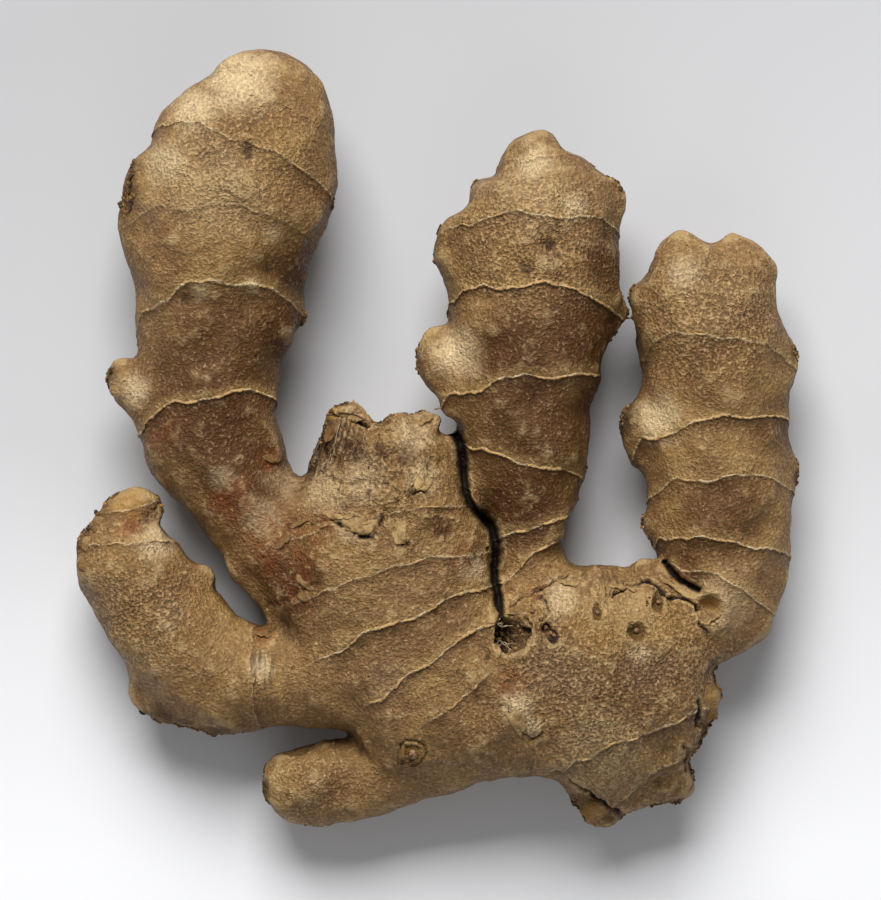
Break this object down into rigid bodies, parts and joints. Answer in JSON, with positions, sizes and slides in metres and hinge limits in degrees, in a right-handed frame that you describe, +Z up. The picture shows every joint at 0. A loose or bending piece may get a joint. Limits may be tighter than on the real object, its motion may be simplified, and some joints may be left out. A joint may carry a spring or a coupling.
{
  "type": "ginger root",
  "caption": "Whole fresh ginger rhizome with ringed fingers, buds and old stem scars, lying on its underside.",
  "frame": {"origin": "under the middle of the rhizome's box, on the surface it lies on", "axes": "+Z up from the surface, +Y from the old heel towards the tips of the long fingers, +X to the right seen from above"},
  "size_m": [0.1204, 0.1299, 0.0302],
  "materials": {
    "skin": "dry tan ginger skin: matt and slightly waxy, finely wrinkled, with pale papery leaf-scar rings, dark specks and reddish brown corky scars"
  },
  "bodies": {
    "root": {"rhizome": "skin"}
  },
  "joints": []
}
